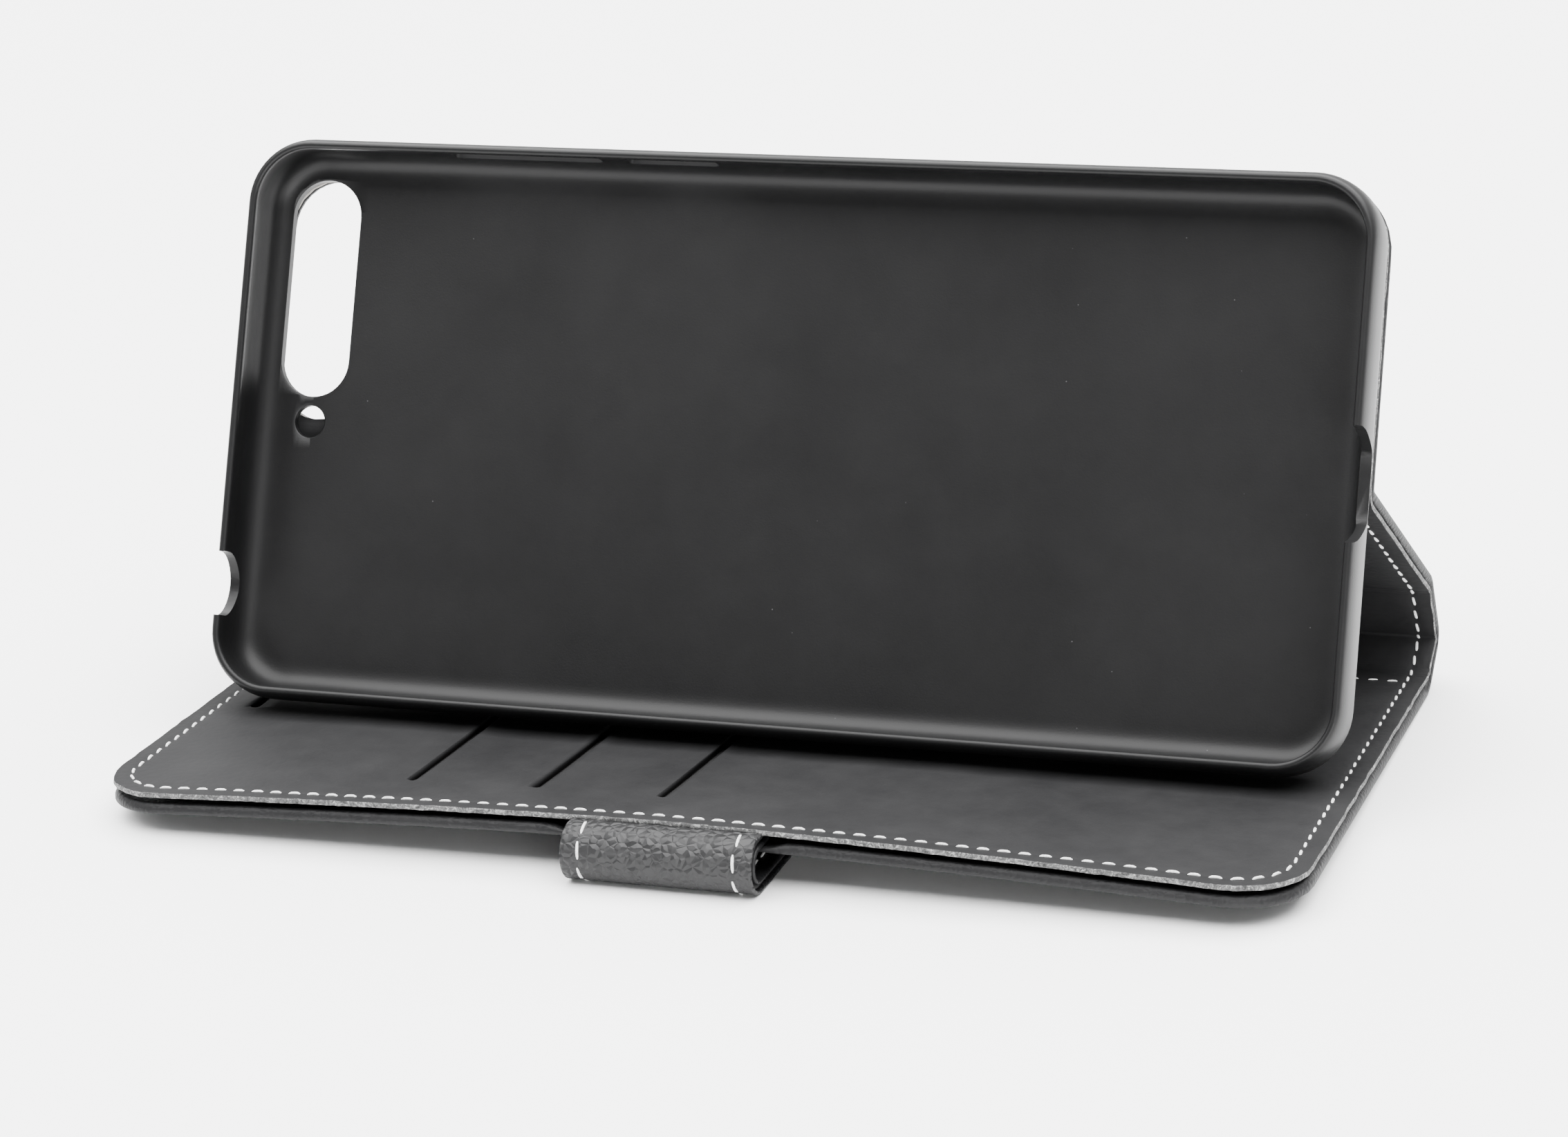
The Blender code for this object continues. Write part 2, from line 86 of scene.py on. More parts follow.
# How far the strap under it lifts the front cover's near edge, and where along S that starts
BOW_HEIGHT = 2.6
BOW_END = -4.0
BOW_LENGTH = 36.0

# Slots in the front lining: X, near end and length. The last one is the cash slot.
SLOTS = ((-37.8, -30.0, 60.0), (-20.8, -30.0, 60.0), (-3.8, -30.0, 60.0), (-71.6, -5.8, 36.0))
SLOT_WIDTH = 1.4

# Stitches
STITCH_INSET = 2.4
STITCH_PITCH = 2.6
SEAM_UNDER = 0.1
PATH_STEP = 0.5

# The strap
STRAP_X = 0.5
STRAP_HALF = 12.5
STRAP_CORNER = 5.0
STRAP_RADIUS = 2.75
STRAP_ROOT = 3.4
STRAP_TAB = 27.0
STRAP_LAYER = 0.65
STRAP_FACE = 0.88
STRAP_LEATHER = 0.6
STRAP_BLEND = 1.7
STRAP_SEAM_START = 2.6
CORE_MARGIN = 0.45
CORE_THICKNESS = 0.7

# The moulded tray
TRAY_BOTTOM = -36.2
TRAY_SEAT = 1.95
TRAY_HALF = 155.0 / 2
TRAY_HEIGHT = 75.8
TRAY_CORNER = 9.0
TRAY_FLOOR = 1.2
LENS_X = -68.8
CAMERA_WIDTH = 10.0
CAMERA_ENDS = (TRAY_BOTTOM + 41.4, TRAY_BOTTOM + 71.0)
FLASH_S = TRAY_BOTTOM + 38.0
FLASH_RADIUS = 2.2
WINDOW_ENDS = (2.3, 35.2)
WINDOW_WIDTH = 13.0
BUTTON_WINDOWS = ((-49.5, -28.3), (-24.5, -11.9))
BUTTON_LEVELS = (3.4, 7.4)
JACK_S = TRAY_BOTTOM + 15.0
JACK_HALF = 4.3
JACK_DEPTH = 3.6
JACK_LEVEL = 7.0
PORT_S = TRAY_BOTTOM + 36.8
PORT_HALF = ((7.4, 11.0), (7.25, 8.6), (6.9, 7.6), (5.0, 4.2), (4.6, 3.5), (3.9, 3.0))
ABOVE_RIM = 11.0
WALL_INSIDE, WALL_OUTSIDE = 74.9, 80.0


# ---------------------------------------------------------------- places

class Place:
    """A panel's plane, from its fold's position (y, z) in millimetres and its direction in radians."""

    def __init__(self, y, z, angle):
        self.origin = Vector((0.0, y, z))
        self.along = Vector((0.0, math.cos(angle), math.sin(angle)))
        self.normal = Vector((0.0, -math.sin(angle), math.cos(angle)))
        self.angle = angle

    def at(self, x, s, n):
        """The point at x, s and n, in millimetres of the shared frame."""
        return self.origin + Vector((x, 0.0, 0.0)) + self.along * s + self.normal * n


def joint_point(name):
    """A joint's place in millimetres."""
    for joint in frame["joints"]:
        if joint["name"] == name:
            return Vector(joint["pos_m"]) / MM
    raise KeyError(name)


def mount_axis(name):
    for mount in frame["record"]["mounts"]:
        if mount["name"] == name:
            return Vector(mount["axis"])
    raise KeyError(name)


HINGE = joint_point("cover_hinge")
MIDDLE = joint_point("spine_fold")
BACK = joint_point("back_fold")
CREASE = joint_point("stand_crease")
STRAP_AXIS = joint_point("strap_fold")


def place_between(a, b):
    """The plane of a panel that runs from one fold to the next."""
    return Place(a.y, a.z, math.atan2(b.z - a.z, b.y - a.y))


UNDERSIDE = mount_axis("cover_underside")
FRONT = Place(HINGE.y, HINGE.z, -abs(math.atan2(UNDERSIDE.y, -UNDERSIDE.z)))
FRONT.origin = FRONT.at(0.0, -FRONT_HINGE, -HINGE_LEVEL)
SPINE_FRONT = place_between(HINGE, MIDDLE)
SPINE_BACK = place_between(MIDDLE, BACK)
STAND = place_between(BACK, CREASE)
SEAT = mount_axis("phone_seat")
TRAY = Place(CREASE.y, CREASE.z, math.atan2(-SEAT.y, SEAT.z))
STAND_LENGTH = (CREASE - BACK).length
SPINE_BACK_LENGTH = (BACK - MIDDLE).length
SPINE_FRONT_LENGTH = (MIDDLE - HINGE).length


# ---------------------------------------------------------------- materials

def new_material(name, colour, roughness, metallic=0.0):
    made = bpy.data.materials.new(name)
    made.use_nodes = True
    shader = made.node_tree.nodes["Principled BSDF"]
    shader.inputs["Base Color"].default_value = (*colour, 1.0)
    shader.inputs["Roughness"].default_value = roughness
    shader.inputs["Metallic"].default_value = metallic
    return made, made.node_tree, shader


def texture(tree, kind, scale, **settings):
    """A texture node on object coordinates; scale is in features per metre."""
    coordinates = tree.nodes.new("ShaderNodeTexCoord")
    node = tree.nodes.new(kind)
    for key, value in settings.items():
        if key in ("detail", "roughness", "distortion", "randomness"):
            node.inputs[key.capitalize()].default_value = value
        else:
            setattr(node, key, value)
    node.inputs["Scale"].default_value = scale
    tree.links.new(coordinates.outputs["Object"], node.inputs["Vector"])
    return node


def ramp(tree, source, stops):
    """Colour a 0..1 value by stops of (position, colour)."""
    node = tree.nodes.new("ShaderNodeValToRGB")
    node.color_ramp.elements[0].position, low = stops[0]
    node.color_ramp.elements[0].color = (*low, 1.0)
    node.color_ramp.elements[1].position, high = stops[-1]
    node.color_ramp.elements[1].color = (*high, 1.0)
    for position, colour in stops[1:-1]:
        node.color_ramp.elements.new(position).color = (*colour, 1.0)
    tree.links.new(source, node.inputs["Fac"])
    return node


def spread(tree, source, low, high):
    """Map a 0..1 value onto low..high."""
    node = tree.nodes.new("ShaderNodeMapRange")
    node.inputs["To Min"].default_value = low
    node.inputs["To Max"].default_value = high
    tree.links.new(source, node.inputs["Value"])
    return node.outputs["Result"]


def bump(tree, source, distance, strength, below=None):
    """A bump from a height value, distance in metres, on top of the normal below."""
    node = tree.nodes.new("ShaderNodeBump")
    node.inputs["Distance"].default_value = distance
    node.inputs["Strength"].default_value = strength
    tree.links.new(source, node.inputs["Height"])
    if below is not None:
        tree.links.new(below, node.inputs["Normal"])
    return node.outputs["Normal"]


def leather(name, dark, light, cell, depth, rough, pores, specular, relief):
    """Grained leather: creased cells, fine pores between them, cloudy colour and uneven gloss.

    cell is the grain's size in millimetres, relief its height in metres, and rough the roughness's range.
    """
    made, tree, shader = new_material(name, light, rough[0])
    shader.inputs["Specular IOR Level"].default_value = specular
    clouds = texture(tree, "ShaderNodeTexNoise", 90.0, detail=5.0, roughness=0.62)
    cells = texture(tree, "ShaderNodeTexVoronoi", 1000.0 / cell, feature="DISTANCE_TO_EDGE",
                    randomness=1.0)
    fine = texture(tree, "ShaderNodeTexNoise", 2600.0, detail=4.0, roughness=0.6)
    colour = ramp(tree, clouds.outputs["Fac"], ((0.30, dark), (0.72, light)))
    tree.links.new(colour.outputs["Color"], shader.inputs["Base Color"])
    tree.links.new(spread(tree, clouds.outputs["Fac"], rough[0], rough[1]), shader.inputs["Roughness"])
    grain = bump(tree, cells.outputs["Distance"], relief, depth)
    normal = bump(tree, fine.outputs["Fac"], 0.00004, pores, grain)
    tree.links.new(normal, shader.inputs["Normal"])
    return made


def cut_edge_material():
    """The leather's raw cut edge: pale fibres over a dark core."""
    made, tree, shader = new_material("raw_cut_edge", (0.10, 0.10, 0.10), 0.85)
    fibres = texture(tree, "ShaderNodeTexNoise", 1500.0, detail=8.0, roughness=0.75, distortion=1.5)
    stops = ((0.38, (0.015, 0.015, 0.015)), (0.52, (0.09, 0.09, 0.09)), (0.68, (0.42, 0.42, 0.41)))
    colour = ramp(tree, fibres.outputs["Fac"], stops)
    tree.links.new(colour.outputs["Color"], shader.inputs["Base Color"])
    tree.links.new(bump(tree, fibres.outputs["Fac"], 0.0002, 0.9), shader.inputs["Normal"])
    return made


def thread_material():
    """White sewing thread with fine fibres and a little sheen."""
    made, tree, shader = new_material("white_sewing_thread", (0.72, 0.72, 0.71), 0.62)
    fibres = texture(tree, "ShaderNodeTexNoise", 5200.0, detail=3.0, roughness=0.5)
    colour = ramp(tree, fibres.outputs["Fac"], ((0.30, (0.50, 0.50, 0.49)), (0.65, (0.80, 0.80, 0.79))))
    tree.links.new(colour.outputs["Color"], shader.inputs["Base Color"])
    tree.links.new(bump(tree, fibres.outputs["Fac"], 0.00005, 0.6), shader.inputs["Normal"])
    shader.inputs["Sheen Weight"].default_value = 0.3
    return made


def plastic_material():
    """Moulded plastic with a fine texture, faint handling marks and specks of dust."""
    made, tree, shader = new_material("black_moulded_plastic", (0.021, 0.021, 0.022), 0.42)
    shader.inputs["Specular IOR Level"].default_value = 0.22
    marks = texture(tree, "ShaderNodeTexNoise", 38.0, detail=6.0, roughness=0.7)
    fine = texture(tree, "ShaderNodeTexNoise", 4200.0, detail=2.0, roughness=0.5)
    dust = texture(tree, "ShaderNodeTexVoronoi", 210.0, feature="F1", randomness=1.0)
    body = ramp(tree, marks.outputs["Fac"],
                ((0.30, (0.0036, 0.0036, 0.0038)), (0.72, (0.0052, 0.0052, 0.0054))))
    specks = ramp(tree, dust.outputs["Distance"],
                  ((0.012, (0.06, 0.06, 0.06)), (0.020, (0.0, 0.0, 0.0))))
    both = tree.nodes.new("ShaderNodeMix")
    both.data_type = "RGBA"
    both.blend_type = "ADD"
    both.inputs["Factor"].default_value = 1.0
    tree.links.new(body.outputs["Color"], both.inputs["A"])
    tree.links.new(specks.outputs["Color"], both.inputs["B"])
    tree.links.new(both.outputs["Result"], shader.inputs["Base Color"])
    tree.links.new(spread(tree, marks.outputs["Fac"], 0.36, 0.47), shader.inputs["Roughness"])
    tree.links.new(bump(tree, fine.outputs["Fac"], 0.00003, 0.35), shader.inputs["Normal"])
    return made


def plain_material(name, colour, roughness, scale, metallic=0.0):
    """A hidden or minor piece: mottled colour and a little texture."""
    made, tree, shader = new_material(name, colour, roughness, metallic)
    mottle = texture(tree, "ShaderNodeTexNoise", scale, detail=4.0, roughness=0.6)
    low = tuple(0.8 * c for c in colour)
    high = tuple(min(1.0, 1.15 * c) for c in colour)
    tint = ramp(tree, mottle.outputs["Fac"], ((0.3, low), (0.7, high)))
    tree.links.new(tint.outputs["Color"], shader.inputs["Base Color"])
    tree.links.new(bump(tree, mottle.outputs["Fac"], 0.00008, 0.4), shader.inputs["Normal"])
    return made


LOOKS = {
    "outer": leather("black_grained_leather", dark=(0.0045, 0.0045, 0.005), light=(0.009, 0.009, 0.0095),
                     cell=0.9, depth=0.6, rough=(0.44, 0.58), pores=0.5, specular=0.22, relief=0.0002),
    "lining": leather("black_lining_leather", dark=(0.008, 0.008, 0.0085), light=(0.015, 0.015, 0.0155),
                      cell=1.6, depth=0.4, rough=(0.60, 0.74), pores=0.35, specular=0.14, relief=0.00012),
    "strap": leather("black_pebbled_leather", dark=(0.006, 0.006, 0.0065), light=(0.012, 0.012, 0.0125),
                     cell=1.15, depth=1.0, rough=(0.40, 0.52), pores=0.5, specular=0.3, relief=0.0005),
    "edge": cut_edge_material(),
    "thread": thread_material(),
    "tray": plastic_material(),
    "board": plain_material("grey_board", (0.30, 0.28, 0.26), 0.9, 1500.0),
    "cloth": plain_material("black_pocket_cloth", (0.010, 0.010, 0.010), 0.9, 2500.0),
    "tape": plain_material("adhesive_tape", (0.5, 0.5, 0.47), 0.5, 900.0),
    "steel": plain_material("plated_steel", (0.58, 0.58, 0.58), 0.32, 700.0, 1.0),
}


# ---------------------------------------------------------------- mesh helpers

def finish_mesh(name, mesh, looks, smooth_angle=50.0, merge=2e-4):
    """Turn a bmesh in millimetres into an object in metres, smooth but for edges over smooth_angle."""
    bmesh.ops.remove_doubles(mesh, verts=mesh.verts, dist=merge)
    bmesh.ops.dissolve_degenerate(mesh, edges=mesh.edges, dist=1e-5)
    bmesh.ops.scale(mesh, vec=(MM, MM, MM), verts=mesh.verts)
    bmesh.ops.recalc_face_normals(mesh, faces=mesh.faces)
    data = bpy.data.meshes.new(name)
    mesh.to_mesh(data)
    mesh.free()
    data.shade_smooth()
    data.set_sharp_from_angle(angle=math.radians(smooth_angle))
    for look in looks:
        data.materials.append(look)
    made = bpy.data.objects.new(name, data)
    bpy.context.collection.objects.link(made)
    return made


def apply_modifiers(piece):
    """Replace the object's mesh with its evaluated one, with no modifier left."""
    bpy.context.view_layer.update()
    evaluated = piece.evaluated_get(bpy.context.evaluated_depsgraph_get())
    result = bpy.data.meshes.new_from_object(evaluated)
    piece.modifiers.clear()
    piece.data = result


def cut(piece, cutters):
    """Subtract closed bmeshes, in millimetres, from a piece with one EXACT Boolean each."""
    tools = []
    for mesh in cutters:
        tool = finish_mesh("cutter", mesh, [piece.data.materials[0]])
        modifier = piece.modifiers.new("cut", "BOOLEAN")
        modifier.operation = "DIFFERENCE"
        modifier.solver = "EXACT"
        modifier.object = tool
        tools.append(tool)
    apply_modifiers(piece)
    for tool in tools:
        bpy.data.objects.remove(tool, do_unlink=True)


def pill_points(x, s0, s1, width, steps):
    """The outline of a slot with round ends that runs along S from s0 to s1."""
    half = width / 2
    points = []
    for i in range(steps + 1):
        turn = math.pi * i / steps
        points.append((x + half * math.cos(turn), s1 - half + half * math.sin(turn)))
    for i in range(steps + 1):
        turn = math.pi * (1 + i / steps)
        points.append((x + half * math.cos(turn), s0 + half + half * math.sin(turn)))
    return points


def between(first, second):
    """A closed solid between two matching rings of points."""
    mesh = bmesh.new()
    a = [mesh.verts.new(p) for p in first]
    b = [mesh.verts.new(p) for p in second]
    mesh.faces.new(a[::-1])
    mesh.faces.new(b)
    for i in range(len(a)):
        j = (i + 1) % len(a)
        mesh.faces.new((a[i], a[j], b[j], b[i]))
    return mesh


def prism(place, outline, low, high):
    """A closed prism in a panel's plane, over an outline of (x, s) points, between two N levels."""
    return between([place.at(x, s, low) for x, s in outline], [place.at(x, s, high) for x, s in outline])


# ---------------------------------------------------------------- leather sheets

# Distances from the edge of a sheet's rows and columns, closer together at the edge and at the seam
RIM_STEPS = (0.0, 0.03, 0.1, 0.22, 0.4, 0.7, 1.1, 1.6, 1.95, 2.2, 2.4, 2.6, 2.85, 3.2, 3.8, 4.6, 6.0,
             8.0, 10.0)
INNER_COLUMNS = 70
GROOVE_WIDTH = 0.45
TURNED_FROM, TURNED_TO = 2.7, 3.7
EDGE_ROUND = 0.6
FRAY_DEPTH = 0.8
FRAY_SIZE = 0.8
FUZZ_SIZE = 0.7
CUT_EDGE = {"rounding": 0.14, "edge_depth": 0.12}


def smooth(value, low, high):
    """0 up to low, 1 from high on, and a smooth step between them."""
    t = min(1.0, max(0.0, (value - low) / (high - low)))
    return t * t * (3.0 - 2.0 * t)


class Outline:
    """A sheet's outline: half width, corner radius, and the ends with round corners (None at a fold).

    slope is how much the half width shrinks per millimetre along S. The left side stays straight.
    """

    def __init__(self, half, corner, near, far, x_middle=0.0, slope=0.0):
        self.half, self.corner, self.near, self.far = half, corner, near, far
        self.x_middle, self.slope = x_middle, slope

    def middle(self, s):
        """X of the sheet's middle in the row at s."""
        return self.x_middle - self.slope * s

    def depth(self, x, s):
        """How far inside the outline a point is."""
        px = abs(x - self.middle(s)) - (self.half - self.slope * s - self.corner)
        ps = -1.0e9
        if self.near is not None:
            ps = max(ps, (self.near + self.corner) - s)
        if self.far is not None:
            ps = max(ps, s - (self.far - self.corner))
        outside = math.hypot(max(px, 0.0), max(ps, 0.0))
        return max(0.0, self.corner - outside - min(max(px, ps), 0.0))

    def half_at(self, s):
        """Half the sheet's width in the row at s."""
        drop = 0.0
        if self.near is not None:
            drop = max(drop, self.near + self.corner - s)
        if self.far is not None:
            drop = max(drop, s - (self.far - self.corner))
        return self.half - self.slope * s - self.corner + math.sqrt(max(0.0, self.corner ** 2 - drop ** 2))

    def columns(self, s, inner):
        """X of the points in the row at s, with the rim's steps at both ends."""
        half = self.half_at(s)
        rim = RIM_STEPS[-1] if half > 2 * RIM_STEPS[-1] else half * 0.6
        steps = [r * rim / RIM_STEPS[-1] if half <= 2 * RIM_STEPS[-1] else r for r in RIM_STEPS]
        left = [-half + r for r in steps]
        middle = [-(half - rim) + 2 * (half - rim) * i / inner for i in range(1, inner)]
        return [self.middle(s) + x for x in left + middle + [-x for x in reversed(left)]]


def rows_between(low, high, step, fine_low, fine_high):
    """S of a sheet's rows, with the rim's steps at the ends that are fine."""
    values = []
    start, end = low, high
    if fine_low:
        values += [low + r for r in RIM_STEPS]
        start = low + RIM_STEPS[-1]
    else:
        values.append(low)
    if fine_high:
        end = high - RIM_STEPS[-1]
    count = max(1, round((end - start) / step))
    values += [start + (end - start) * i / count for i in range(1, count)]
    values += [high - r for r in reversed(RIM_STEPS)] if fine_high else [high]
    return values


def sheet(name, point, outline, rows, thickness, looks, relief, rounding=0.3, rim_lift=0.0, groove=0.1,
          fray=0.0, inner=INNER_COLUMNS, edge_depth=0.0):
    """A leather sheet as one closed mesh. point(x, s, n) places a point n away from the sheet's middle.

    relief(x, s, depth, side) moves the faces, groove sinks both along the seam, rim_lift thickens the turned
    edge, fray roughens a cut edge, and edge_depth is how far in the second material, the cut edge, reaches.
    """
    mesh = bmesh.new()
    grids = []
    for side in (1, -1):
        grid = []
        for s in rows:
            line = []
            for x in outline.columns(s, inner):
                depth = outline.depth(x, s)
                full = thickness / 2
                if depth < rounding:
                    full *= math.sqrt(max(0.0, 1.0 - (1.0 - depth / rounding) ** 2))
                sink = groove * math.exp(-((depth - STITCH_INSET) / GROOVE_WIDTH) ** 2)
                n = side * (full - sink)
                lift = rim_lift(x, s) if callable(rim_lift) else rim_lift
                turned = lift * (1.0 - smooth(depth, TURNED_FROM, TURNED_TO)) if side == 1 else 0.0
                n += turned * math.sqrt(min(1.0, depth / EDGE_ROUND))
                n += relief(x, s, depth, side) * smooth(depth, 0.0, EDGE_ROUND)
                raw = fray * max(0.0, 1.0 - depth / FRAY_DEPTH)
                px = x + raw * noise.noise(Vector((x / FRAY_SIZE, s / FRAY_SIZE, 3.1)))
                ps = s + raw * noise.noise(Vector((x / FRAY_SIZE, s / FRAY_SIZE, 7.7)))
                n += 0.5 * raw * noise.noise(Vector((x / FUZZ_SIZE, s / FUZZ_SIZE, 1.3)))
                line.append(mesh.verts.new(point(px, ps, n)))
            grid.append(line)
        grids.append(grid)

    depths = [[outline.depth(x, s) for x in outline.columns(s, inner)] for s in rows]
    for grid, flip in zip(grids, (False, True)):
        for r in range(len(rows) - 1):
            for i in range(len(grid[r]) - 1):
                corners = [(r, i), (r, i + 1), (r + 1, i + 1), (r + 1, i)]
                points = [grid[row][column] for row, column in corners]
                face = mesh.faces.new(points[::-1] if flip else points)
                depth = sum(depths[row][column] for row, column in corners) / 4
                face.material_index = 1 if depth < edge_depth else 0
    top, bottom = grids
    for k in (0, -1):
        for i in range(len(top[k]) - 1):
            mesh.faces.new((top[k][i], top[k][i + 1], bottom[k][i + 1], bottom[k][i]))
        for r in range(len(rows) - 1):
            mesh.faces.new((top[r][k], top[r + 1][k], bottom[r + 1][k], bottom[r][k]))
    return finish_mesh(name, mesh, looks)


def finish(piece, body, slot, replaced=()):
    """Ride on one body, or, when body is (a, b, start, end) instead of a name, stay baked where it is."""
    if isinstance(body, str):
        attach(piece, body)
    else:
        a, b, start, end = body
        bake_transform(piece)
        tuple(start)
        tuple(end)
    if replaced:
        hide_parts(*replaced)


def bow(x, s):
    """How far the near edge of the front cover is lifted by the strap under it."""
    across = max(0.0, 1.0 - (abs(x) / COVER_HALF) ** 1.6)
    along = min(1.0, max(0.0, (BOW_END - s) / BOW_LENGTH))
    return BOW_HEIGHT * across * along ** 1.3


def undulation(size, height, seed):
    """A relief of soft waves."""
    def relief(x, s, depth, side):
        return height * noise.noise(Vector((x / size, s / size, seed)))
    return relief


# ---------------------------------------------------------------- stitches

CORNER_STEPS = 16
THREAD_SIDES = 6
THREAD_STATIONS = (-1.0, -0.82, -0.5, 0.0, 0.5, 0.82, 1.0)


def add_seam(mesh, path, pitch=STITCH_PITCH, length=1.75, radius=0.2, proud=0.06, sink=0.3):
    """Add sewn stitches along a path of (point, normal) pairs. Each stitch dips into the leather."""
    lengths = [0.0]
    for (a, _), (b, _) in zip(path, path[1:]):
        lengths.append(lengths[-1] + (b - a).length)

    def at(distance):
        distance = min(max(distance, 0.0), lengths[-1])
        for i in range(len(lengths) - 1):
            if distance <= lengths[i + 1]:
                part = (distance - lengths[i]) / max(1e-9, lengths[i + 1] - lengths[i])
                normal = path[i][1].lerp(path[i + 1][1], part).normalized()
                return path[i][0].lerp(path[i + 1][0], part), normal
        return path[-1]

    count = max(1, round(lengths[-1] / pitch))
    step = lengths[-1] / count
    for k in range(count):
        middle = (k + 0.5) * step
        wobble = noise.noise(Vector((k * 1.7, lengths[-1], 0.5)))
        half = length / 2 * (1.0 + 0.10 * wobble) * min(1.0, step / pitch + 0.1)
        rings = []
        for t in THREAD_STATIONS:
            centre, normal = at(middle + half * t)
            before, _ = at(middle + half * t - 0.05)
            after, _ = at(middle + half * t + 0.05)
            forward = (after - before).normalized()
            across = normal.cross(forward)
            height = proud - sink * abs(t) ** 4
            centre = centre + normal * height + across * (0.10 * t + 0.05 * wobble)
            size = radius * (1.0 - 0.35 * abs(t) ** 3)
            rings.append([mesh.verts.new(centre + (across * math.cos(a) + normal * math.sin(a)) * size)
                          for a in (2 * math.pi * j / THREAD_SIDES for j in range(THREAD_SIDES))])
        for a, b in zip(rings, rings[1:]):
            for j in range(THREAD_SIDES):
                m = (j + 1) % THREAD_SIDES
                mesh.faces.new((a[j], a[m], b[m], b[j]))
        mesh.faces.new(rings[0][::-1])
        mesh.faces.new(rings[-1])


def seams(name, paths, **settings):
    """One mesh with the stitches of several seams. settings are those of add_seam."""
    mesh = bmesh.new()
    for path in paths:
        add_seam(mesh, path, **settings)
    return finish_mesh(name, mesh, [LOOKS["thread"]], 70.0, 1e-4)


def side_path(at, x_at, s0, s1, up):
    """A straight seam along S. x_at(s) gives its X, at(x, s) the surface point, up the normal."""
    count = max(2, round(abs(s1 - s0) / PATH_STEP))
    rows = [s0 + (s1 - s0) * i / count for i in range(count + 1)]
    return [(at(x_at(s), s), up) for s in rows]


def loop_path(at, half, s_start, s_end, corner, up, middle=0.0):
    """A U-shaped seam: up one side, round two corners at s_end, back down the other side."""
    way = 1.0 if s_end > s_start else -1.0
    straight = s_end - way * corner
    count = max(2, round(abs(straight - s_start) / PATH_STEP))
    left = [(-half, s_start + (straight - s_start) * i / count) for i in range(count)]
    left += [(-(half - corner) - corner * math.cos(a), straight + way * corner * math.sin(a))
             for a in (math.pi / 2 * i / CORNER_STEPS for i in range(CORNER_STEPS + 1))]
    count = round(2 * (half - corner) / PATH_STEP)
    top = [(-(half - corner) + 2 * (half - corner) * i / count, s_end) for i in range(1, count)]
    return [(at(middle + x, s), up) for x, s in left + top + [(-x, s) for x, s in reversed(left)]]


# ---------------------------------------------------------------- the front cover

FRONT_END = FRONT_HINGE - HINGE_REACH
FRONT_LINING = 2.65
FRONT_OUTER = 0.35
FRONT_TOP = 3.0
FRONT_UNDER = 0.12
FRONT_ROW = 1.6
LIP_AT, LIP_WIDTH, LIP_HEIGHT = 1.2, 0.8, 0.16
SEAM_X = COVER_HALF - STITCH_INSET
FAR_SEAM_S = FRONT_END - STITCH_INSET - 0.3
FAR_SEAM_STEPS = 300
SLOT_CUT_LOW, SLOT_CUT_HIGH = 0.9, 8.0

# The outer leather's turned edge: its height, and where it thins out beside and behind the strap
TURNED_HEIGHT = 0.8
STRAP_CLEAR, STRAP_FADE = 0.5, 3.0
TURN_FROM, TURN_TO = -36.0, -30.0


def front_point(level):
    """Points on a layer of the front cover, which is bowed over the strap."""
    return lambda x, s, n: FRONT.at(x, s, level + n + bow(x, s))


front_outline = Outline(COVER_HALF, CORNER, FRONT_NEAR, None)
front_rows = rows_between(FRONT_NEAR, FRONT_END, FRONT_ROW, True, False)


def lining_relief(x, s, depth, side):
    """Soft waves, and raised lips beside the card slots."""
    value = 0.10 * noise.noise(Vector((x / 17.0, s / 17.0, 4.0)))
    if side == 1:
        for slot_x, near, length in SLOTS:
            if near - 1.0 < s < near + length:
                value += LIP_HEIGHT * math.exp(-((abs(x - slot_x) - LIP_AT) / LIP_WIDTH) ** 2)
    return value


lining = sheet("front_lining_leather", front_point(FRONT_LINING), front_outline, front_rows, LEATHER,
               [LOOKS["lining"], LOOKS["edge"]], lining_relief, fray=0.16, inner=150, **CUT_EDGE)
cut(lining, [prism(FRONT, pill_points(x, near, near + length, SLOT_WIDTH, 10), SLOT_CUT_LOW, SLOT_CUT_HIGH)
             for x, near, length in SLOTS])
finish(lining, "front_cover", "lining_leather", ["front_lining"])


def turned_edge(x, s):
    """The turned edge of the outer leather leaves room for the strap where it enters."""
    near_strap = 1.0 - smooth(abs(x - STRAP_X), STRAP_HALF + STRAP_CLEAR, STRAP_HALF + STRAP_FADE)
    return TURNED_HEIGHT * (1.0 - near_strap * (1.0 - smooth(s, TURN_FROM, TURN_TO)))


outer_relief = undulation(21.0, 0.03, 2.0)
outer = sheet("front_outer_leather_skin", front_point(FRONT_OUTER), front_outline, front_rows, LEATHER,
              [LOOKS["outer"]], outer_relief, rounding=0.7, rim_lift=turned_edge, groove=0.08)
finish(outer, "front_cover", "outer_leather", ["front_outer_leather"])


def front_top(x, s):
    """Where the stitches lie on the front lining."""
    return FRONT.at(x, s, FRONT_TOP - SEAM_UNDER + bow(x, s))


def front_under(x, s):
    """Where the stitches lie on the front cover's underside."""
    return FRONT.at(x, s, FRONT_UNDER + bow(x, s))


front_paths = []
for at, up in ((front_top, FRONT.normal), (front_under, -FRONT.normal)):
    front_paths.append(loop_path(at, SEAM_X, FRONT_END, FRONT_NEAR + STITCH_INSET, CORNER - STITCH_INSET, up))
    front_paths.append([(at(-SEAM_X + 2 * SEAM_X * i / FAR_SEAM_STEPS, FAR_SEAM_S), up)
                        for i in range(1, FAR_SEAM_STEPS)])
finish(seams("front_stitches", front_paths), "front_cover", "thread", ["front_seam_thread"])


# ---------------------------------------------------------------- spine, stand and tray panels

PANEL_ROW = 1.8
WINDOW_CUT = 2.5
lining_waves = undulation(13.0, 0.06, 5.0)


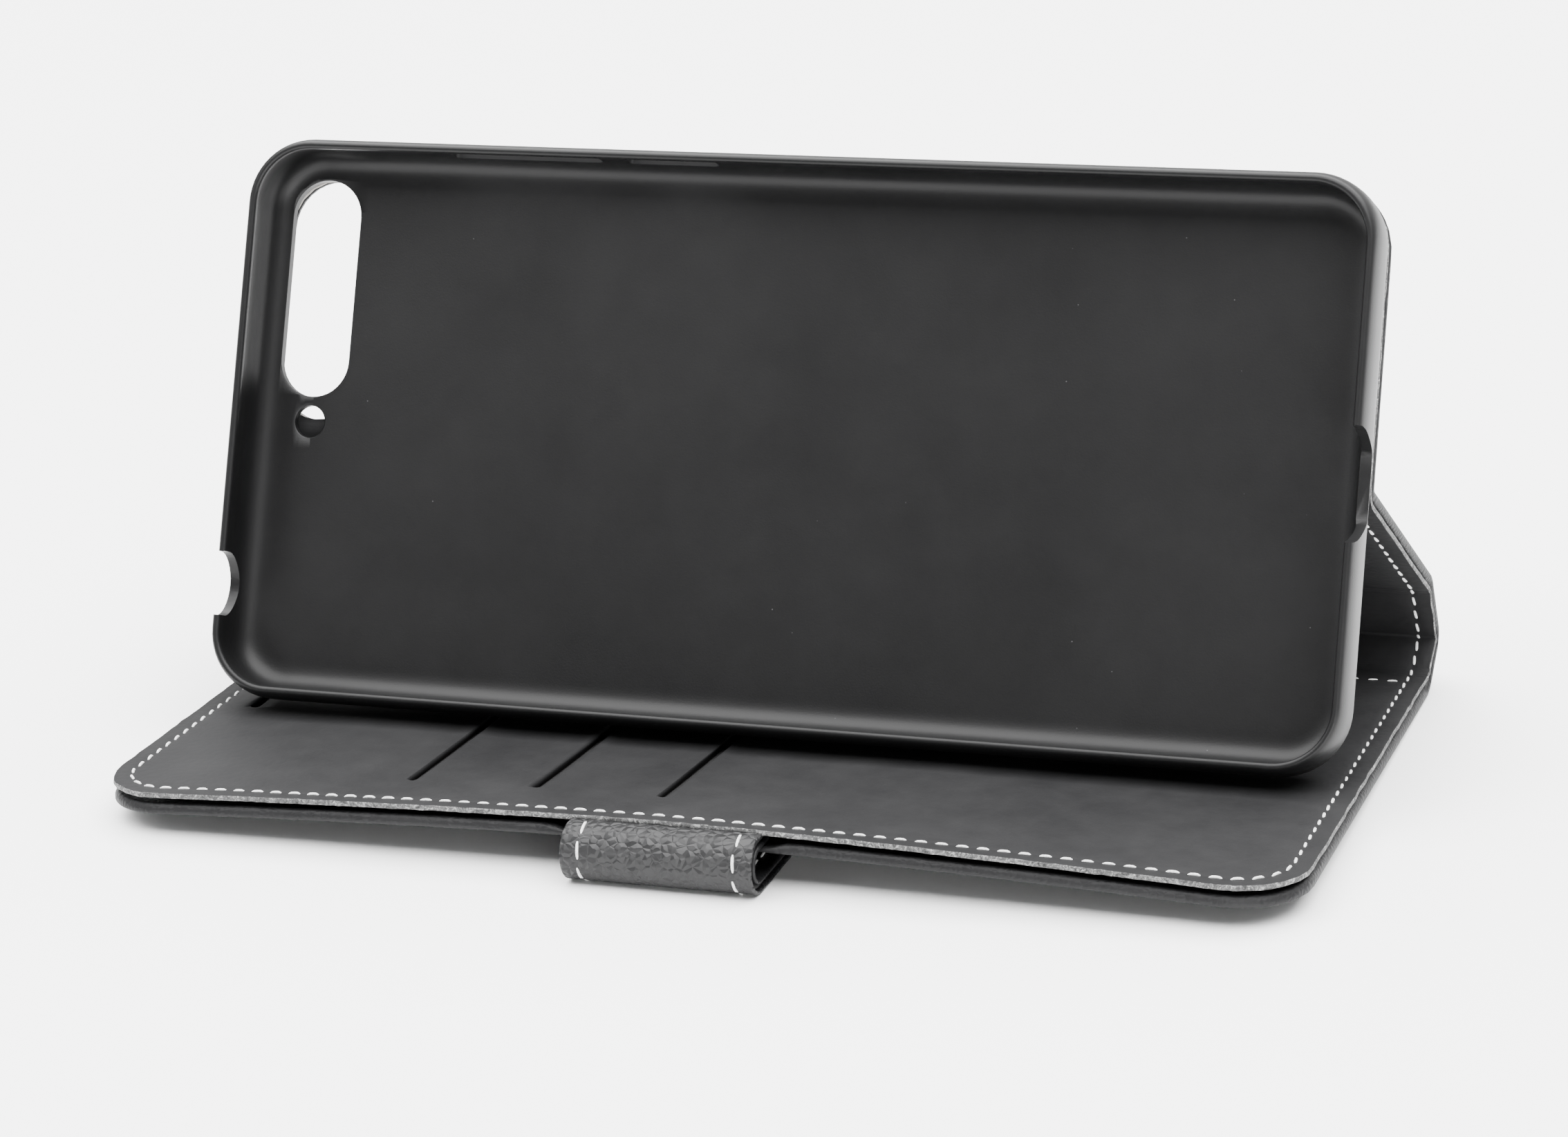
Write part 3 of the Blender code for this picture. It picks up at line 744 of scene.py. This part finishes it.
def panel_seams(place, s0, s1, half, middle, slope, far):
    """Seams on both faces of a panel: along its two sides, or one loop where it has a far end."""
    paths = []
    inner = half - STITCH_INSET
    for sign in (1, -1):
        up = sign * place.normal

        def at(x, s, face=sign * (PANEL_FACE - SEAM_UNDER)):
            return place.at(x, s, face)

        if far is None:
            for side in (-1, 1):
                def x_at(s, side=side):
                    return middle - slope * s + side * (inner - slope * s)
                paths.append(side_path(at, x_at, s0, s1, up))
        else:
            corner = UPPER_CORNER - STITCH_INSET
            paths.append(loop_path(at, inner, s0, far - STITCH_INSET, corner, up, middle))
    return paths


def panel(tag, place, s0, s1, half, middle, slope, far=None):
    """Outer leather, lining and seams of one flat panel between two folds."""
    outline = Outline(half, UPPER_CORNER if far else CORNER, None, far, middle, slope)
    rows = rows_between(s0, s1, PANEL_ROW, False, far is not None)

    def lining_point(x, s, n):
        return place.at(x, s, PANEL_LAYER + n)

    def outer_point(x, s, n):
        return place.at(x, s, -PANEL_LAYER + n)

    return {
        "lining": sheet(f"{tag}_lining_leather_skin", lining_point, outline, rows, LEATHER,
                        [LOOKS["lining"], LOOKS["edge"]], lining_waves, fray=0.16, **CUT_EDGE),
        "outer": sheet(f"{tag}_outer_leather_skin", outer_point, outline, rows, LEATHER, [LOOKS["outer"]],
                       outer_relief, rounding=0.6, rim_lift=0.5, groove=0.08),
        "thread": seams(f"{tag}_stitches", panel_seams(place, s0, s1, half, middle, slope, far)),
    }


def finish_panel(made, tag, body, threads):
    """Put a panel's pieces on their body, in place of the CAD's layers and threads."""
    finish(made["lining"], body, "lining_leather", [f"{tag}_lining"])
    finish(made["outer"], body, "outer_leather", [f"{tag}_outer_leather"])
    finish(made["thread"], body, "thread", threads)


STAND_SLOPE = -UPPER_SHIFT / (STAND_LENGTH - BACK_REACH - CREASE_REACH)
STAND_GROWTH = STAND_SLOPE * BACK_REACH
STAND_HALF = COVER_HALF + STAND_GROWTH
for tag, place, s0, s1, half, middle, slope in (
        ("spine_front", SPINE_FRONT, HINGE_REACH, SPINE_FRONT_LENGTH - MIDDLE_REACH, COVER_HALF, 0.0, 0.0),
        ("spine_back", SPINE_BACK, MIDDLE_REACH, SPINE_BACK_LENGTH - BACK_REACH, COVER_HALF, 0.0, 0.0),
        ("stand_panel", STAND, BACK_REACH, STAND_LENGTH - CREASE_REACH, STAND_HALF, STAND_GROWTH,
         STAND_SLOPE)):
    finish_panel(panel(tag, place, s0, s1, half, middle, slope), tag, tag,
                 [f"{tag}_thread_left", f"{tag}_thread_right"])

tray_sheets = panel("tray_panel", TRAY, CREASE_REACH, UPPER_PANEL, UPPER_HALF, UPPER_SHIFT, 0.0, UPPER_PANEL)
window = pill_points(LENS_X, *WINDOW_ENDS, WINDOW_WIDTH, 16)
for kind in ("lining", "outer"):
    cut(tray_sheets[kind], [prism(TRAY, window, -WINDOW_CUT, WINDOW_CUT)])
finish_panel(tray_sheets, "tray_panel", "tray_panel", ["tray_panel_seam_thread"])


# ---------------------------------------------------------------- folds

FOLD_ROWS = 12


def fold(tag, axis, first, second, reach, half, middle, levels, bodies, replaced):
    """Leather and stitches round one fold: an arc tangent to both panels, baked in place.

    levels gives the lining's, the outer leather's and the face's distance from the fold's middle at the
    first and at the second panel.
    """
    turn = second.angle - first.angle
    radius = reach / math.tan(turn / 2)
    centre = axis - first.along * reach + first.normal * radius
    arc = abs(radius * turn)

    def point_at(level_a, level_b):
        def point(x, s, n):
            part = s / arc
            angle = first.angle + turn * part
            normal = Vector((0.0, -math.sin(angle), math.cos(angle)))
            level = level_a + (level_b - level_a) * part
            return centre + Vector((x, 0.0, 0.0)) - normal * (radius - level - n)
        return point

    start = tuple((axis - first.along * reach) * MM)
    end = tuple((axis + second.along * reach) * MM)
    outline = Outline(half, CORNER, None, None, middle)
    rows = [arc * i / FOLD_ROWS for i in range(FOLD_ROWS + 1)]
    (lining_a, lining_b), (outer_a, outer_b), (face_a, face_b) = levels

    def creases(x, s, depth, side):
        return 0.05 * math.sin(math.pi * s / arc) * noise.noise(Vector((x / 2.2, s / 0.5, 9.0)))

    lining = sheet(f"{tag}_lining_leather", point_at(lining_a, lining_b), outline, rows, LEATHER,
                   [LOOKS["lining"], LOOKS["edge"]], creases, fray=0.10, inner=110, **CUT_EDGE)
    outer = sheet(f"{tag}_outer_leather", point_at(outer_a, outer_b), outline, rows, LEATHER,
                  [LOOKS["outer"]], creases, rounding=0.6, rim_lift=0.4, groove=0.08, inner=110)
    paths = []
    for sign in (1, -1):
        surface = point_at(sign * (face_a - SEAM_UNDER), sign * (face_b - SEAM_UNDER))
        for x in (middle - (half - STITCH_INSET), middle + half - STITCH_INSET):
            path = []
            for i, s in enumerate(rows):
                angle = first.angle + turn * i / FOLD_ROWS
                up = Vector((0.0, -math.sin(angle), math.cos(angle)))
                path.append((surface(x, s, 0.0), sign * up))
            paths.append(path)
    stitches = seams(f"{tag}_stitches", paths, length=1.5)
    for piece, slot in ((lining, "lining_leather"), (outer, "outer_leather"), (stitches, "thread")):
        finish(piece, (*bodies, start, end), slot, [replaced] if piece is outer else ())


FRONT_LAYER = 1.15
PANEL_LEVELS = ((PANEL_LAYER, PANEL_LAYER), (-PANEL_LAYER, -PANEL_LAYER), (PANEL_FACE, PANEL_FACE))
HINGE_LEVELS = ((FRONT_LAYER, PANEL_LAYER), (-FRONT_LAYER, -PANEL_LAYER), (HINGE_LEVEL, PANEL_FACE))
for settings in (
        ("cover_fold", HINGE, FRONT, SPINE_FRONT, HINGE_REACH, COVER_HALF, 0.0, HINGE_LEVELS,
         ("front_cover", "spine_front"), "fold_front_spine"),
        ("spine_fold", MIDDLE, SPINE_FRONT, SPINE_BACK, MIDDLE_REACH, COVER_HALF, 0.0, PANEL_LEVELS,
         ("spine_front", "spine_back"), "fold_mid_spine"),
        ("back_fold", BACK, SPINE_BACK, STAND, BACK_REACH, COVER_HALF, 0.0, PANEL_LEVELS,
         ("spine_back", "stand_panel"), "fold_spine_stand"),
        ("crease_fold", CREASE, STAND, TRAY, CREASE_REACH, UPPER_HALF, UPPER_SHIFT, PANEL_LEVELS,
         ("stand_panel", "tray_panel"), "fold_crease")):
    fold(*settings)


# ---------------------------------------------------------------- the strap

STRAP_BENT = math.pi * STRAP_RADIUS
STRAP_END = STRAP_ROOT + STRAP_BENT + STRAP_TAB


def strap_point(level):
    """Along the strap: in from under the lining, round the fold, and back under the cover."""
    def point(x, s, n):
        away = level + n
        if s < STRAP_ROOT:
            return Vector((x, STRAP_AXIS.y + STRAP_ROOT - s, STRAP_AXIS.z + STRAP_RADIUS + away))
        turn = min((s - STRAP_ROOT) / STRAP_RADIUS, math.pi)
        past = max(0.0, s - STRAP_ROOT - STRAP_BENT)
        radius = STRAP_RADIUS + away
        return Vector((x, STRAP_AXIS.y - radius * math.sin(turn) + past,
                       STRAP_AXIS.z + radius * math.cos(turn)))
    return point


def bend_end(side):
    """Where the strap's bend starts (1) or ends (-1), in metres."""
    return tuple(Vector((0.0, STRAP_AXIS.y, STRAP_AXIS.z + side * STRAP_BLEND)) * MM)


CORE_END = STRAP_END - CORE_MARGIN
CORE_CORNER = 4.5
strap_outline = Outline(STRAP_HALF, STRAP_CORNER, None, STRAP_END, STRAP_X)
core_outline = Outline(STRAP_HALF - CORE_MARGIN, CORE_CORNER, None, CORE_END, STRAP_X)
strap_rows = rows_between(0.0, STRAP_END, 0.5, False, True)
core_rows = rows_between(0.0, CORE_END, 0.6, False, True)
strap_bend = ("front_cover", "clasp_strap", bend_end(1), bend_end(-1))
for name, level, outline, rows, thick, look, slot, replaced in (
        ("strap_outer_pebbled_leather", STRAP_LAYER, strap_outline, strap_rows, STRAP_LEATHER, "strap",
         "strap_leather", ["strap_outer_leather", "strap_bend", "strap_anchor"]),
        ("strap_lining_leather", -STRAP_LAYER, strap_outline, strap_rows, STRAP_LEATHER, "outer",
         "outer_leather", ["strap_lining"]),
        ("strap_core", 0.0, core_outline, core_rows, CORE_THICKNESS, "cloth",
         "pocket_cloth", ["strap_filler"])):
    piece = sheet(name, strap_point(level), outline, rows, thick, [LOOKS[look]], undulation(4.0, 0.03, 6.0),
                  rounding=0.28, groove=0.07, inner=24)
    finish(piece, strap_bend, slot, replaced)

STRAP_SEAM_STEPS = 160
STRAP_SEAM_LENGTH = STRAP_END - STRAP_CORNER - STRAP_SEAM_START
strap_paths = []
for sign in (1, -1):
    surface = strap_point(sign * STRAP_FACE)
    for x in (STRAP_X - STRAP_HALF + STITCH_INSET, STRAP_X + STRAP_HALF - STITCH_INSET):
        path = []
        for i in range(STRAP_SEAM_STEPS + 1):
            s = STRAP_SEAM_START + STRAP_SEAM_LENGTH * i / STRAP_SEAM_STEPS
            here = surface(x, s, 0.0)
            path.append((here, sign * (surface(x, s, 1.0) - here).normalized()))
        strap_paths.append(path)
strap_stitches = seams("strap_stitches", strap_paths, pitch=3.3, length=2.75, radius=0.19, proud=0.05)
finish(strap_stitches, strap_bend, "thread")


# ---------------------------------------------------------------- the moulded tray

TRAY_MIDDLE = TRAY_BOTTOM + TRAY_HEIGHT / 2
TRAY_TOP = TRAY_BOTTOM + TRAY_HEIGHT
TRAY_SHARP = 38.0
SMALLEST_CORNER = 0.8

# The wall's section as (distance in from the outside, level): underside, outer face, rim, inner face, floor
TRAY_PROFILE = ((8.0, 0.0), (5.0, 0.0), (3.0, 0.0), (1.5, 0.4), (0.4, 1.5), (0.0, 3.2), (0.0, 6.4),
                (0.30, 8.2), (0.75, 9.2), (1.45, 9.2), (1.7, 8.7), (1.5, 7.6), (1.2, 5.6), (1.3, 3.6),
                (1.9, 2.3), (2.9, 1.5), (4.2, TRAY_FLOOR), (6.2, TRAY_FLOOR), (9.0, TRAY_FLOOR))


def chaikin(points, rounds):
    """Round off an open line's corners by cutting them again and again."""
    for _ in range(rounds):
        rounded = [points[0]]
        for (a, b), (c, d) in zip(points, points[1:]):
            rounded.append((0.75 * a + 0.25 * c, 0.75 * b + 0.25 * d))
            rounded.append((0.25 * a + 0.75 * c, 0.25 * b + 0.75 * d))
        points = rounded + [points[-1]]
    return points


def rounded_loop(half_x, half_s, corner, steps=14, sides=(24, 16)):
    """A rounded rectangle, with points along its straight sides too so that cut faces stay small."""
    points = []
    for quarter, (sx, ss) in enumerate(((1, 1), (-1, 1), (-1, -1), (1, -1))):
        for i in range(steps + 1):
            turn = math.pi / 2 * (quarter + i / steps)
            points.append((sx * (half_x - corner) + corner * math.cos(turn),
                           ss * (half_s - corner) + corner * math.sin(turn)))
        count = sides[quarter % 2]
        x, s = points[-1]
        for i in range(1, count):
            part = i / count
            if quarter % 2 == 0:
                points.append((x * (1 - 2 * part), s))
            else:
                points.append((x, s * (1 - 2 * part)))
    return points


def tray_at(x, s, level):
    """A point in the tray; level is its height above the tray's underside."""
    return TRAY.at(x, s, TRAY_SEAT + level)


def tray_body():
    """The tray without its openings: the wall's section carried round a rounded rectangle."""
    mesh = bmesh.new()
    rings = []
    for inset, level in chaikin(TRAY_PROFILE, 2):
        corner = max(SMALLEST_CORNER, TRAY_CORNER - inset)
        loop = rounded_loop(TRAY_HALF - inset, TRAY_HEIGHT / 2 - inset, corner)
        rings.append([mesh.verts.new(tray_at(x, TRAY_MIDDLE + s, level)) for x, s in loop])
    for a, b in zip(rings, rings[1:]):
        for i in range(len(a)):
            j = (i + 1) % len(a)
            mesh.faces.new((a[i], a[j], b[j], b[i]))
    mesh.faces.new(rings[0][::-1])
    mesh.faces.new(rings[-1])
    return finish_mesh("moulded_phone_tray", mesh, [LOOKS["tray"]], TRAY_SHARP)


BEVEL = 0.22
BEVEL_OUT = 0.3
WINDOW_DEPTH = 2.2
ROUND_STEPS = 16


def tray_ring(outline, level):
    """An outline of (x, s) points at one level of the tray."""
    return [tray_at(x, s, level) for x, s in outline]


def hole(ring):
    """Cutters for a hole with a broken edge on both faces. ring(extra) is its outline, grown by extra."""
    small, wide, through = ring(-BEVEL_OUT), ring(BEVEL_OUT), ring(0.0)
    return [between(tray_ring(small, TRAY_FLOOR - 1.5 * BEVEL), tray_ring(wide, TRAY_FLOOR + 0.5 * BEVEL)),
            between(tray_ring(wide, -0.5 * BEVEL), tray_ring(small, 1.5 * BEVEL)),
            between(tray_ring(through, -1.0), tray_ring(through, TRAY_FLOOR + 1.0))]


def wall_window(x0, x1, low, high, round_off=0.5):
    """A cutter through the top wall for a side button."""
    outline = []
    corners = ((x1, high, 1, 1), (x0, high, -1, 1), (x0, low, -1, -1), (x1, low, 1, -1))
    for quarter, (x, level, x_side, level_side) in enumerate(corners):
        for i in range(7):
            turn = math.pi / 2 * (quarter + i / 6)
            outline.append((x - x_side * round_off + round_off * math.cos(turn),
                            level - level_side * round_off + round_off * math.sin(turn)))
    return between([tray_at(x, TRAY_TOP - WINDOW_DEPTH, n) for x, n in outline],
                   [tray_at(x, TRAY_TOP + 1.0, n) for x, n in outline])


def end_notch(x0, x1, outline):
    """A cutter through an end wall; outline is (s, level)."""
    return between([tray_at(x0, s, n) for s, n in outline], [tray_at(x1, s, n) for s, n in outline])


def camera_ring(extra):
    """The camera hole's outline, grown by extra."""
    low, high = CAMERA_ENDS
    return pill_points(LENS_X, low - extra, high + extra, CAMERA_WIDTH + 2 * extra, 20)


def flash_ring(extra):
    """The round flash hole's outline, grown by extra."""
    radius = FLASH_RADIUS + extra
    turns = [math.pi * i / ROUND_STEPS for i in range(2 * ROUND_STEPS)]
    return [(LENS_X + radius * math.cos(a), FLASH_S + radius * math.sin(a)) for a in turns]


def jack_notch():
    """A round-bottomed notch in the rim of the left wall."""
    outline = [(JACK_S + JACK_HALF, ABOVE_RIM), (JACK_S + JACK_HALF, JACK_LEVEL)]
    for i in range(1, ROUND_STEPS):
        turn = math.pi * i / ROUND_STEPS
        outline.append((JACK_S + JACK_HALF * math.cos(turn), JACK_LEVEL - JACK_DEPTH * math.sin(turn)))
    outline += [(JACK_S - JACK_HALF, JACK_LEVEL), (JACK_S - JACK_HALF, ABOVE_RIM)]
    return end_notch(-WALL_OUTSIDE, -WALL_INSIDE, outline)


def port_notch():
    """A wide notch with slanted sides in the rim of the right wall."""
    outline = [(PORT_S + s, n) for s, n in PORT_HALF] + [(PORT_S - s, n) for s, n in reversed(PORT_HALF)]
    return end_notch(WALL_INSIDE, WALL_OUTSIDE, outline)


BIG_FACE = 2e-5
tray = tray_body()
windows = [wall_window(*ends, *BUTTON_LEVELS) for ends in BUTTON_WINDOWS]
cut(tray, hole(camera_ring) + hole(flash_ring) + windows + [jack_notch(), port_notch()])
tray.data.set_sharp_from_angle(angle=math.radians(TRAY_SHARP))
for polygon in tray.data.polygons:
    if abs(polygon.normal.dot(TRAY.normal)) > 0.9999 and polygon.area > BIG_FACE:
        polygon.use_smooth = False
finish(tray, "tray_panel", "tray_plastic", ["phone_tray"])


# ---------------------------------------------------------------- pieces between the layers

for look, slot, nodes in (
        ("board", "board", ("front_board", "spine_front_board", "spine_back_board", "stand_panel_board",
                            "tray_panel_board")),
        ("cloth", "pocket_cloth", ("card_pocket_1", "card_pocket_2", "card_pocket_3", "cash_pocket")),
        ("tape", "tape", ("adhesive_pad",)),
        ("steel", "steel", ("magnet_keeper", "strap_magnet"))):
    for node in nodes:
        shown = frame["nodes"][node]
        shown.data.materials.clear()
        shown.data.materials.append(LOOKS[look])


# ---------------------------------------------------------------- floor, light and camera

FLOOR_REACH = 6000.0
FLOOR_GAP = 0.05


def floor():
    """A plain pale floor, just under the case."""
    mesh = bmesh.new()
    for x, y in ((-1, -1), (1, -1), (1, 1), (-1, 1)):
        mesh.verts.new((x * FLOOR_REACH, y * FLOOR_REACH, -FLOOR_GAP))
    mesh.faces.new(mesh.verts)
    made, _, shader = new_material("white_floor", (0.92, 0.92, 0.92), 0.7)
    piece = finish_mesh("floor", mesh, [made])


def area_light(name, place, target, size, power):
    """A soft rectangular lamp, in metres and watts, turned to its target."""
    light = bpy.data.lights.new(name, "AREA")
    light.shape = "RECTANGLE"
    light.size, light.size_y = size
    light.energy = power
    made = bpy.data.objects.new(name, light)
    made.location = place
    made.rotation_euler = (Vector(target) - Vector(place)).to_track_quat("-Z", "Y").to_euler()
    bpy.context.collection.objects.link(made)


def world(front, back):
    """Studio surround: dim in front of the case (-Y), bright behind it, and in between overhead."""
    made = bpy.data.worlds.new("studio")
    made.use_nodes = True
    tree = made.node_tree
    coordinates = tree.nodes.new("ShaderNodeTexCoord")
    split = tree.nodes.new("ShaderNodeSeparateXYZ")
    tree.links.new(coordinates.outputs["Generated"], split.inputs["Vector"])
    shade = tree.nodes.new("ShaderNodeMapRange")
    shade.interpolation_type = "SMOOTHSTEP"
    shade.inputs["From Min"].default_value = -0.6
    shade.inputs["From Max"].default_value = 0.7
    shade.inputs["To Min"].default_value = front
    shade.inputs["To Max"].default_value = back
    tree.links.new(split.outputs["Y"], shade.inputs["Value"])
    background = tree.nodes["Background"]
    background.inputs["Color"].default_value = (1.0, 1.0, 1.0, 1.0)
    tree.links.new(shade.outputs["Result"], background.inputs["Strength"])
    bpy.context.scene.world = made


def camera_at(place, target, roll, lens):
    """The scene's camera: places in metres, roll in radians about its view, lens in millimetres."""
    data = bpy.data.cameras.new("camera")
    data.sensor_width = 36.0
    data.sensor_fit = "HORIZONTAL"
    data.lens = lens
    data.clip_start = 0.01
    data.clip_end = 50.0
    made = bpy.data.objects.new("camera", data)
    level = (Vector(target) - Vector(place)).to_track_quat("-Z", "Y")
    made.location = place
    made.rotation_euler = (level @ Quaternion((0.0, 0.0, 1.0), roll)).to_euler()
    bpy.context.collection.objects.link(made)
    bpy.context.scene.camera = made


floor()
world(0.18, 1.1)
area_light("overhead_softbox", (0.0, 0.4, 1.6), (0.0, 0.4, 0.0), (3.4, 3.4), 380.0)
area_light("left_softbox", (-1.0, -0.7, 0.9), (-0.05, 0.0, 0.05), (0.7, 0.7), 5.0)
area_light("right_softbox", (1.1, 0.35, 0.5), (0.0, 0.0, 0.03), (0.5, 0.9), 0.5)
area_light("low_front_fill", (0.55, -0.95, 0.10), (0.05, 0.03, 0.02), (0.9, 0.18), 9.0)
camera_at((0.185741, -0.506694, 0.213982), (0.002695, 0.0, 0.026527), -0.053735, 101.4)
